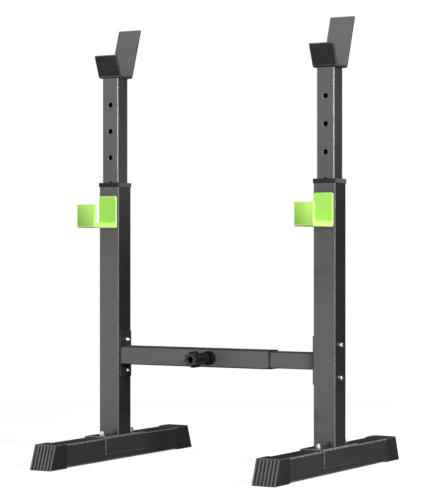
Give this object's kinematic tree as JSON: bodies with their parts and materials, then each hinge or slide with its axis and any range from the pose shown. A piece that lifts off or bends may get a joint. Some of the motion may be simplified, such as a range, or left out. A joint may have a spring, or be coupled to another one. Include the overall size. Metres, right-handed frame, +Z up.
{
  "type": "bench press rack",
  "caption": "Free-standing bench press rack: height-adjustable uprights with bar cups and lower bar hooks, on long feet, joined by a telescopic beam with a clamp knob.",
  "frame": {"origin": "on the floor, midway between the two uprights and midway along the feet", "axes": "+Z up, +X along the beam from the left upright to the right one, -Y towards the lifter, where the bar hooks and the clamp knob are"},
  "size_m": [0.5896, 0.574, 0.9506],
  "materials": {
    "powder_coat": "charcoal black powder coat, satin",
    "moulded_black": "moulded black plastic",
    "green_coat": "lime green coat, satin",
    "zinc": "bright zinc plate"
  },
  "bodies": {
    "left_frame": {"left_foot_tube": "powder_coat", "left_foot_cap_front": "moulded_black", "left_foot_cap_rear": "moulded_black", "left_saddle": "powder_coat", "left_saddle_bolt_front": "zinc", "left_saddle_bolt_rear": "zinc", "left_saddle_nut_front": "zinc", "left_saddle_nut_rear": "zinc", "left_outer_upright": "powder_coat", "left_collar": "moulded_black", "left_bar_hook": "green_coat", "left_pin_boss": "powder_coat", "left_bracket": "powder_coat", "left_bracket_bolt_upper": "zinc", "left_bracket_bolt_lower": "zinc", "left_bracket_nut_upper": "zinc", "left_bracket_nut_lower": "zinc", "beam_outer_tube": "powder_coat", "beam_bush": "moulded_black", "clamp_boss": "powder_coat"},
    "right_frame": {"right_foot_tube": "powder_coat", "right_foot_cap_front": "moulded_black", "right_foot_cap_rear": "moulded_black", "right_saddle": "powder_coat", "right_saddle_bolt_front": "zinc", "right_saddle_bolt_rear": "zinc", "right_saddle_nut_front": "zinc", "right_saddle_nut_rear": "zinc", "right_outer_upright": "powder_coat", "right_collar": "moulded_black", "right_bar_hook": "green_coat", "right_pin_boss": "powder_coat", "right_bracket": "powder_coat", "right_bracket_bolt_upper": "zinc", "right_bracket_bolt_lower": "zinc", "right_bracket_nut_upper": "zinc", "right_bracket_nut_lower": "zinc", "beam_inner_tube": "powder_coat", "beam_guide": "moulded_black"},
    "left_post": {"left_inner_upright": "powder_coat", "left_post_guide": "moulded_black", "left_bar_cup": "powder_coat"},
    "right_post": {"right_inner_upright": "powder_coat", "right_post_guide": "moulded_black", "right_bar_cup": "powder_coat"},
    "left_pin": {"left_height_pin": "zinc"},
    "right_pin": {"right_height_pin": "zinc"},
    "clamp_shank": {"clamp_screw": "zinc"},
    "clamp_handle": {"clamp_knob": "moulded_black"}
  },
  "joints": [
    {"name": "beam_slide", "type": "slide", "parent": "left_frame", "child": "right_frame", "axis": [1, 0, 0], "range_m": [-0.1, 0.09]},
    {"name": "left_height_slide", "type": "slide", "parent": "left_frame", "child": "left_post", "axis": [0, 0, 1], "range_m": [-0.174, 0.058]},
    {"name": "right_height_slide", "type": "slide", "parent": "right_frame", "child": "right_post", "axis": [0, 0, 1], "range_m": [-0.174, 0.058]},
    {"name": "left_pin_slide", "type": "slide", "parent": "left_frame", "child": "left_pin", "axis": [0, -1, 0], "range_m": [0, 0.011]},
    {"name": "right_pin_slide", "type": "slide", "parent": "right_frame", "child": "right_pin", "axis": [0, -1, 0], "range_m": [0, 0.011]},
    {"name": "clamp_travel", "type": "slide", "parent": "left_frame", "child": "clamp_shank", "axis": [0, -1, 0], "range_m": [0, 0.0045]},
    {"name": "clamp_turn", "type": "hinge", "parent": "clamp_shank", "child": "clamp_handle", "pos_m": [-0.0119, -0.0398, 0.2297], "axis": [0, -1, 0], "range_deg": [0, 1080]}
  ],
  "couplings": [
    {"joint": "clamp_turn", "follows": "clamp_travel", "rad_per_m": 4188.8}
  ]
}
